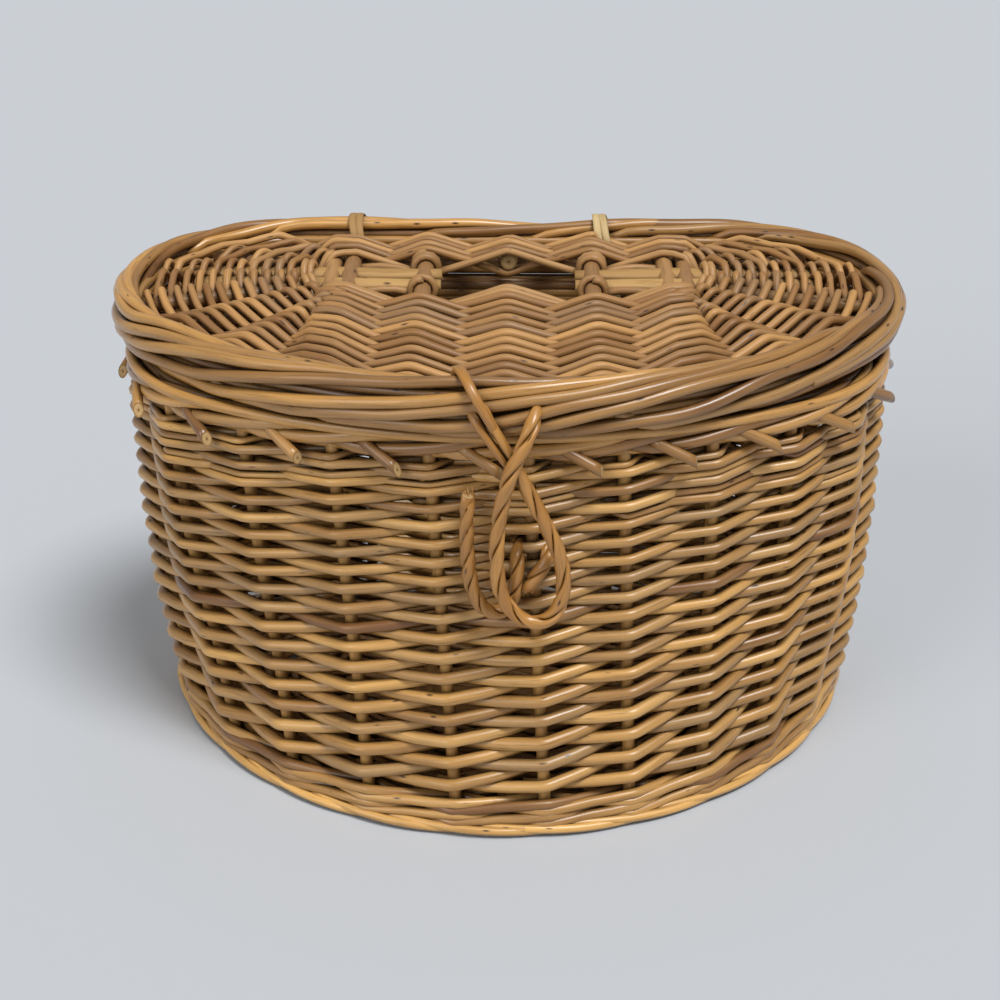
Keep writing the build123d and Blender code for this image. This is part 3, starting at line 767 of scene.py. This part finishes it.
def makeCrossStick(name, chance):
    low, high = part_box("lid_cross_stick_" + name)
    middle, front, back = (low.x + high.x) / 2 / mm, low.y / mm, high.y / mm
    piece = newPiece()
    for x in (middle - lidStick["pair"], middle + lidStick["pair"]) if "outer" in name else (middle,):
        def spot(share, seed):
            y = back - (back - front) * share
            return y, Vector((x + wobble(seed, y, 0.5), y, lidStick["height"] + wobble(seed + 4, y, 0.5)))

        addStick(piece, chance, max(4, round((back - front) / 12)), spot, lambda share: lidStick["cross"],
                 0.07, 0.7, 0.25)
    finishPiece(piece, "lidCrossStick." + name, "lid", "willow_stick", lidWillow, "lid_cross_stick_" + name)


def makeFan(side, word, chance):
    piece = newPiece()
    x, y = lidStick["fanMiddle"]
    middle = Vector((side * x, y, lidStick["height"]))
    for turn, near, far in fanSticks:
        heading = Vector((side * math.cos(math.radians(turn)), math.sin(math.radians(turn)), 0))

        def spot(share, seed):
            reach = near + (far - near) * share
            return reach, middle + heading * reach + Vector((0, 0, wobble(seed, reach, 0.5)))

        addStick(piece, chance, 8, spot, lambda share: lidStick["fan"] * (1.05 - 0.12 * share),
                 0.07, 0.7, 0.3)
    finishPiece(piece, "lidFanSticks." + word, "lid", "willow_stick", lidWillow, "lid_fan_sticks_" + word)


# The long sticks are split from thick willow: they widen from the hole and their faces are nearly flat.
def makeLongStick(side, word, row, y, chance):
    near, far = lidStick["rowEnds"]

    def spot(share, seed):
        x = near + (far - near) * share
        return x, Vector((side * x, y + wobble(seed, x, 0.8), lidStick["height"] + wobble(seed + 3, x, 0.3)))

    piece = newPiece()
    addStick(piece, chance, 12, spot, lambda share: 8.2 + 3.0 * min(1.0, share * 2.4), 0.08, 0.8, 0.1,
             shape=lambda ring, offset: Vector((offset.x, offset.y, offset.z * 0.58)))
    finishPiece(piece, "lidLongStick." + word + "." + row, "lid", "willow_stick", splitWillow,
                "lid_long_stick_" + word + "_" + row)


stickChance = random.Random(lidStick["seed"])
for name in crossSticks:
    makeCrossStick(name, stickChance)
for side, word in ((-1, "left"), (1, "right")):
    makeFan(side, word, stickChance)
    for row, y in lidStick["rows"]:
        makeLongStick(side, word, row, y, stickChance)
print("lid sticks made")


# ---- borders: rods laid as a slow rope round the edge ----

# core holds rods inside the border, as (angle round its middle, how far out)
lidBorder = {"rods": 20, "span": 6.2, "from": -100.0, "to": 150.0, "half": (5.1, 10.3), "middle": 214.75,
             "inset": 8.0, "butt": 6.2, "tip": 4.8, "seed": 31, "shown": {3: -35.0, 5: -12.0},
             "core": ((-90.0, 0.92), (-130.0, 0.92), (-165.0, 0.92), (165.0, 0.92), (0.0, 0.0), (90.0, 0.45),
                      (-90.0, 0.45), (-150.0, 2.05))}
bodyBorder = {"rods": 22, "span": 3.4, "from": -80.0, "to": 155.0, "half": (4.3, 4.8), "middle": 193.5,
              "inset": 7.2, "butt": 6.3, "tip": 4.8, "seed": 41, "shown": {},
              "core": ((-90.0, 0.9), (-150.0, 0.92), (165.0, 0.92), (0.0, 0.0), (45.0, 1.5), (132.4, 1.3))}
borderRod = {"tuckRun": 22.0, "sides": 10, "coreParts": 220, "coreWidth": 5.2, "coreSides": 8}


def makeBorder(look, outline, name, slot, body, node, starts):
    chance = random.Random(look["seed"])
    girth = 2 * halfGirth(outline)
    halfOut, halfUp = look["half"]
    piece = newPiece()
    for rod in range(look["rods"]):
        first = starts(rod)
        begin = look["shown"].get(rod, look["from"])
        length = look["span"] * girth / look["rods"] * chance.uniform(0.94, 1.08)
        tone = drawTone(chance, 0.06, 0.16, (2.0, 1.8))
        seed = chance.random() * 50
        steps = max(8, round(length / 6))
        points, wide = [], []
        for step in range(steps + 1):
            share = step / steps
            run = share * length
            angle = math.radians(begin + (look["to"] - begin) * share + wobble(seed, run, 30, 0.02))
            # both ends tuck in under the other rods, apart from the butts that show
            tuck = min(1.0, 0.45 + (1 - share) * length / borderRod["tuckRun"])
            if rod not in look["shown"]:
                tuck = min(tuck, 0.35 + run / borderRod["tuckRun"])
            tuck *= 1 + wobble(seed + 2, run, 0.14, 0.025)
            place, outward = placeOn(outline, first + run, look["inset"])
            upward = Vector((0, 0, look["middle"] + halfUp * math.sin(angle) * tuck))
            points.append(place + outward * halfOut * math.cos(angle) * tuck + upward)
            wide.append((look["butt"] + (look["tip"] - look["butt"]) * share)
                        * (1 + wobble(seed + 5, run, 0.08, 0.02)))
        addRod(piece, points, wide, tone, borderRod["sides"])
    # rods that lie inside the border all the way round; the one that is furthest out stops beside the ties
    for angle, reach in look["core"]:
        runs = [[]]
        turn = math.radians(angle)
        for part in range(borderRod["coreParts"]):
            place, outward = placeOn(outline, girth * part / borderRod["coreParts"], look["inset"])
            if reach > 2 and place.y > 60 and min(abs(place.x - x) for x in tieMiddles) < 8:
                runs.append([])
                continue
            runs[-1].append(place + outward * halfOut * reach * math.cos(turn)
                            + Vector((0, 0, look["middle"] + halfUp * reach * math.sin(turn))))
        tone = (chance.random(), chance.random(), 0.1)
        for points in runs:
            if len(points) > 2:
                addRod(piece, points, [borderRod["coreWidth"]] * len(points), tone, borderRod["coreSides"],
                       closed=len(runs) == 1)
    finishPiece(piece, name, body, slot, borderWillow, node)


lidGirth = 2 * halfGirth(outlines["lid"])
makeBorder(lidBorder, outlines["lid"], "lidBorder", "willow_border", "lid", "lid_border",
           lambda rod: lidGirth * rod / lidBorder["rods"])
makeBorder(bodyBorder, outlines["mouth"], "bodyBorder", "willow_border", "basket", "body_border", stakeAlong)

# the cut ends of the body border's rods, which come out below it beside each stake
borderTails = {"before": 12.0, "run": 18.0, "low": 184.3, "high": 193.6, "inside": -4.2, "outside": 3.0,
               "width": 5.2, "steps": 5, "seed": 3, "sides": 12}


def makeTails():
    chance = random.Random(borderTails["seed"])
    piece = newPiece()
    steps = borderTails["steps"]
    for number in range(stakes["count"]):
        last = stakeAlong(number) - borderTails["before"]
        points = []
        for step in range(steps + 1):
            share = step / steps
            place, outward = placeOn(outlines["mouth"], last - borderTails["run"] * (1 - share), 0)
            out = borderTails["inside"] + (borderTails["outside"] - borderTails["inside"]) * share
            level = borderTails["high"] + (borderTails["low"] - borderTails["high"]) * share
            points.append(place + outward * out + Vector((0, 0, level)))
        widths = [borderTails["width"] * chance.uniform(0.92, 1.04)] * (steps + 1)
        addRod(piece, points, widths, (chance.uniform(0.15, 0.6), chance.random(), 0.1), borderTails["sides"],
               slant=chance.uniform(-1.1, -0.6))
    finishPiece(piece, "borderTails", "basket", "willow_border", borderWillow, "body_border_tails")


makeTails()
print("borders made")


# ---- base ----

baseWeave = {"rows": 18, "inner": (90.0, 23.0, 23.0, 20.0), "edge": 16.4, "height": 11.6, "swing": 5.0,
             "width": 3.6, "bend": 5.0, "step": 12.0, "sway": 0.6, "rise": 0.5, "uneven": 0.12, "seed": 51,
             "sides": 6, "longRows": (-17.0, 0.0, 17.0), "longEnds": (60.0, 132.0)}
baseMiddle = {"rows": (-11.3, -6.2, 6.2, 11.3), "pitch": 40.0, "end": 88.0, "width": 3.9, "step": 20.0}


def baseSticks():
    found = [(*stickLine("base_cross_stick_" + str(number), 8, 8), 0.0) for number in range(1, 6)]
    near, far = baseWeave["longEnds"]
    for row in baseWeave["longRows"]:
        for side in (-1, 1):
            found.append((Vector((side * near, row)), Vector((side * far, row)), 1.5))
    return found


def makeBaseWeave():
    chance = random.Random(baseWeave["seed"])
    sticks = baseSticks()
    outer = tuple(size - baseWeave["edge"] for size in outlines["foot"])
    piece = newPiece()
    for row in range(baseWeave["rows"]):
        outline = mixOutline(baseWeave["inner"], outer, row / (baseWeave["rows"] - 1))
        crossings = [(place, 1 if (order + row) % 2 == 0 else -1, sticks[number][2])
                     for order, (place, number) in enumerate(meetings(outline, sticks))]
        crossings.append((crossings[0][0] + 2 * halfGirth(outline), *crossings[0][1:]))
        tone = drawTone(chance, 0.15, 0.2)
        addRingRod(piece, baseWeave, outline, crossings, tone, chance.random() * 50,
                   lambda y: baseWeave["width"], True)
    # straight rods over and under the cross sticks, between the long ones
    for number, y in enumerate(baseMiddle["rows"]):
        crossings = [(-baseMiddle["end"], 1 if number % 2 else -1, 0.0)]
        for place in range(-2, 3):
            crossings.append((place * baseMiddle["pitch"], 1 if (place + number) % 2 else -1, 0.0))
        crossings.append((baseMiddle["end"], -1 if number % 2 else 1, 0.0))
        line = weaveLine(crossings, baseWeave["swing"], baseWeave["bend"], baseMiddle["step"])
        points = [Vector((x, y, baseWeave["height"] + offset)) for x, offset, _ in line]
        addRod(piece, points, [baseMiddle["width"]] * len(points), (chance.random(), chance.random(), 0.1),
               baseWeave["sides"])
    finishPiece(piece, "baseWeave", "basket", "willow_weave", lidWillow, "base_weave")


makeBaseWeave()
print("base made")


# ---- hinge ties of pale split willow ----

# lid and body are the two rounds that the strip goes over: y, z and radius
hingeTie = {"wraps": 2, "strip": 3.9, "thick": 1.1, "apart": 3.6, "lean": 3.0, "sway": 0.7,
            "lid": (*tieRoom["axis"], 14.35), "body": (93.5, 193.5, 9.4), "seed": 61, "sides": 8}


def makeTie(node, middle, name, age):
    chance = random.Random(hingeTie["seed"] + len(name))
    (lidY, lidZ, lidRadius), (bodyY, bodyZ, bodyRadius) = hingeTie["lid"], hingeTie["body"]
    heading = math.atan2(bodyZ - lidZ, bodyY - lidY)
    leave = math.acos((lidRadius - bodyRadius) / math.hypot(bodyY - lidY, bodyZ - lidZ))
    piece = newPiece()
    for wrap in range(hingeTie["wraps"]):
        x = middle + (wrap - 0.5) * hingeTie["apart"]
        loop = []
        for y, z, radius, first, turn, steps in (
                (lidY, lidZ, lidRadius, leave, 2 * (math.pi - leave), 14),
                (bodyY, bodyZ, bodyRadius, -leave, 2 * leave, 8)):
            for step in range(steps + 1):
                angle = heading + first + turn * step / steps
                loop.append(Vector((x, y + radius * math.cos(angle), z + radius * math.sin(angle))))
        seed = chance.random() * 30
        for k, point in enumerate(loop):
            point.x += wobble(seed, 9 * k, hingeTie["sway"]) - hingeTie["lean"] * (point.z - lidZ) / lidRadius
        count = len(loop)

        def press(ring, offset):
            run = (loop[(ring + 1) % count] - loop[ring - 1]).normalized()
            out = Vector((1, 0, 0)).cross(run).normalized()
            return offset - out * offset.dot(out) * (1 - hingeTie["thick"] / hingeTie["strip"])

        addRod(piece, loop, [hingeTie["strip"]] * count, (chance.uniform(0.3, 0.8), chance.random(), age),
               hingeTie["sides"], closed=True, shape=press)
    finishPiece(piece, name, "basket", "willow_skein", paleWillow, node)


leftMiddle, rightMiddle = tieMiddles
makeTie("hinge_tie_right", rightMiddle, "hingeTieRight", 0.0)
makeTie("hinge_tie_left", leftMiddle, "hingeTieLeft", 1.0)


# ---- hasp and hook of two strands twisted together ----

rope = {"ply": 3.9, "apart": 1.6, "wide": 1.42, "flat": 0.86, "openWide": -0.32, "openFlat": 0.24,
        "sides": 12}


# Two flattened strands wound round a middle line. turns(share) is the number of turns made by then,
# and spread(share) how far the strands stand apart: over 1 they open and grow rounder.
def addRope(piece, route, turns, chance, spread=lambda share: 1.0):
    count = len(route)
    normals = []
    up = Vector((0, -1, 0))
    for index in range(count):
        heading = (route[min(index + 1, count - 1)] - route[max(index - 1, 0)]).normalized()
        up = (up - heading * up.dot(heading)).normalized()
        normals.append((heading, up.copy(), heading.cross(up)))
    total = [0.0]
    for a, b in zip(route, route[1:]):
        total.append(total[-1] + (b - a).length)
    for ply in (0, 1):
        radials, points, opened = [], [], []
        for index in range(count):
            share = total[index] / total[-1]
            opened.append(spread(share) - 1)
            angle = 2 * math.pi * turns(share) + math.pi * ply
            _, n, b = normals[index]
            radials.append(n * math.cos(angle) + b * math.sin(angle))
            points.append(route[index] + radials[-1] * rope["apart"] * spread(share))

        def press(ring, offset):
            heading, radial = normals[ring][0], radials[ring]
            side = heading.cross(radial)
            flat = rope["flat"] + rope["openFlat"] * opened[ring]
            wide = rope["wide"] + rope["openWide"] * opened[ring]
            return (heading * offset.dot(heading) + radial * offset.dot(radial) * flat
                    + side * offset.dot(side) * wide)

        tone = (chance.uniform(0.45, 0.85), chance.random(), chance.uniform(0.0, 0.15))
        widths = [rope["ply"] * (1 + 0.05 * math.sin(index * 0.7 + ply * 2)) for index in range(count)]
        addRod(piece, points, widths, tone, rope["sides"], shape=press)


# The hasp: both ends come from under the lid's border, and the loop hangs over the hook. Its first
# stretch isn't twisted: the two strands stand apart where they leave the border.
hasp = {"y": -107.65, "steps": 7, "turns": 6.2, "start": 0.25, "openUntil": 0.14, "open": 0.9, "seed": 71}


def makeHasp():
    y = hasp["y"]
    guide = [(-11.5, y + 7, 216.5), (-9.0, y + 1.5, 213.0), (-3.0, y, 203.5), (3.4, y + 1.6, 193.0),
             (11.0, y + 1.6, 179.0), (19.5, y + 0.4, 162.0), (25.6, y, 146.0), (26.2, y, 131.0),
             (21.5, y, 119.0), (13.0, y, 116.2), (4.6, y, 120.5), (-1.8, y, 131.0), (-3.6, y, 145.0),
             (-3.0, y, 160.0), (-1.0, y - 1.5, 176.0), (2.0, y - 4.6, 190.0), (7.0, y - 3.4, 201.0),
             (10.4, y - 1.8, 208.0), (12.6, y + 2.2, 213.5), (13.4, y + 8.0, 216.0)]
    piece = newPiece()
    addRope(piece, smoothLine([Vector(p) for p in guide], hasp["steps"]),
            lambda share: hasp["start"] + hasp["turns"] * max(0.0, share - hasp["openUntil"]),
            random.Random(hasp["seed"]),
            lambda share: 1.0 + hasp["open"] * max(0.0, 1 - share / hasp["openUntil"]))
    finishPiece(piece, "haspLoop", "hasp", "willow_rope", ropeWillow, "hasp_loop")


# One more strand comes from inside the lid, over its border and down to the hasp.
strand = {"butt": 5.0, "tip": 3.6, "steps": 7, "press": (1.1, 0.85, 0.85), "tone": (0.62, 0.3, 0.0),
          "sides": 12}


def makeStrand():
    guide = [(-20.5, -84.5, 219.0), (-20.2, -86.5, 226.0), (-19.0, -90.0, 230.0), (-16.8, -98.0, 230.2),
             (-13.8, -105.2, 227.4), (-9.0, -109.2, 219.0), (-5.4, -108.4, 212.5), (-3.8, -106.8, 208.0)]
    route = smoothLine([Vector(p) for p in guide], strand["steps"])
    thinner = (strand["butt"] - strand["tip"]) / (len(route) - 1)
    piece = newPiece()
    addRod(piece, route, [strand["butt"] - thinner * k for k in range(len(route))], strand["tone"],
           strand["sides"], shape=lambda ring, offset: offset * Vector(strand["press"]))
    finishPiece(piece, "haspStrand", "lid", "willow_rope", ropeWillow, "hasp_strand_on_lid")


# The hook: it goes in beside a stake, round it inside the wall and out again, from left to right.
hook = {"half": 3.25, "left": 5.8, "right": 19.3, "steps": 6, "turns": 6.6, "seed": 73,
        "fibres": 9, "fibreWidths": (0.9, 0.7, 0.35)}


def makeHook():
    chance = random.Random(hook["seed"])
    low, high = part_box("hook")
    front, inside = low.y / mm + hook["half"], high.y / mm - hook["half"]
    left, right = hook["left"], hook["right"]
    guide = [(-15.4, front - 0.6, 176.0), (-16.6, front - 0.4, 160.0), (-16.0, front, 143.0),
             (-14.6, front, 130.0), (-10.6, front, 120.2), (-4.0, front, 116.6), (2.4, front, 119.5),
             (5.2, front, 131.0), (left, front + 0.5, 143.5), (left, front + 8, 146.5),
             (left, inside - 4, 146.0), (left + 2, inside, 146.0), (right - 2, inside, 146.0),
             (right, inside - 4, 146.0), (right, front + 8, 146.5), (right, front + 0.5, 143.5),
             (14.5, front, 137.0), (9.5, front, 129.0)]
    piece = newPiece()
    addRope(piece, smoothLine([Vector(p) for p in guide], hook["steps"]), lambda share: hook["turns"] * share,
            chance)
    # frayed fibres at the tip
    for _ in range(hook["fibres"]):
        start = Vector((-15.4 + chance.uniform(-1.8, 1.8), front - 0.6 + chance.uniform(-1.5, 1.5), 173.5))
        lean = Vector((chance.uniform(-1.6, 2.4), chance.uniform(-1.0, 1.0), chance.uniform(3.0, 5.5)))
        middle = start + lean * 0.6 + Vector((chance.uniform(-0.5, 0.5), 0, 0))
        addRod(piece, [start, middle, start + lean], hook["fibreWidths"], (0.95, chance.random(), 0.0), 6)
    finishPiece(piece, "hook", "basket", "willow_rope", ropeWillow, "hook")


makeHasp()
makeStrand()
makeHook()
print("hasp and hook made")


# ---- floor, lights and camera ----

stageLook = {"floor": "#C0C4C9", "floorSize": 40.0, "below": 0.4, "key": 2.45, "fill": 0.8, "world": 0.30,
             "backdrop": 0.62}


# Smooth pale paper laid flat, without gloss: it takes a soft shadow and nothing else.
def makeStage():
    sheet = bmesh.new()
    bmesh.ops.create_grid(sheet, x_segments=1, y_segments=1, size=stageLook["floorSize"])
    mesh = bpy.data.meshes.new("floor")
    sheet.to_mesh(mesh)
    sheet.free()
    mesh.transform(Matrix.Translation((0, 0, -stageLook["below"] * mm)))
    newObject("floor", mesh)
    material, tree = newMaterial("paleSheet")
    shader = addNode(tree, "ShaderNodeBsdfPrincipled", inputs={
        "Base Color": linear(stageLook["floor"]), "Roughness": 0.9})
    addNode(tree, "ShaderNodeOutputMaterial", inputs={"Surface": shader})
    mesh.materials.append(material)


def addLamp(name, place, spread, strength):
    lamp = bpy.data.lights.new(name, "SUN")
    lamp.angle = math.radians(spread)
    lamp.energy = strength
    made = newObject(name, lamp)
    made.location = place
    made.rotation_euler = (-Vector(place)).to_track_quat("-Z", "Y").to_euler()


# A white room whose brightness behind the basket is set apart from the light that it gives.
def makeWorld():
    world = bpy.data.worlds.new("softRoom")
    bpy.context.scene.world = world
    world.use_nodes = True
    background = world.node_tree.nodes["Background"]
    background.inputs["Color"].default_value = (1.0, 1.0, 1.0, 1.0)
    rays = addNode(world.node_tree, "ShaderNodeLightPath")
    strength = addNode(world.node_tree, "ShaderNodeMath", {"operation": "MULTIPLY_ADD"}, (
        rays.outputs["Is Camera Ray"], stageLook["backdrop"] - stageLook["world"], stageLook["world"]))
    world.node_tree.links.new(strength.outputs[0], background.inputs["Strength"])


photoCamera = {"lens": 70.15, "shift": (-0.00697, 0.01575), "place": (0.0102, -0.8379, 0.5518),
               "tilt": 62.38, "turn": 0.70}  # place is in metres


def makeCamera():
    lens = bpy.data.cameras.new("photoCamera")
    lens.lens = photoCamera["lens"]
    lens.sensor_width = 36.0
    lens.shift_x, lens.shift_y = photoCamera["shift"]
    camera = newObject("photoCamera", lens)
    camera.location = photoCamera["place"]
    camera.rotation_euler = (math.radians(photoCamera["tilt"]), 0.0, math.radians(photoCamera["turn"]))
    bpy.context.scene.camera = camera


makeStage()
makeWorld()
addLamp("keyLamp", (0.9, -1.1, 3.0), 21.0, stageLook["key"])
addLamp("fillLamp", (-2.2, -2.4, 1.8), 34.0, stageLook["fill"])
makeCamera()
bpy.context.scene.view_settings.view_transform = "Standard"
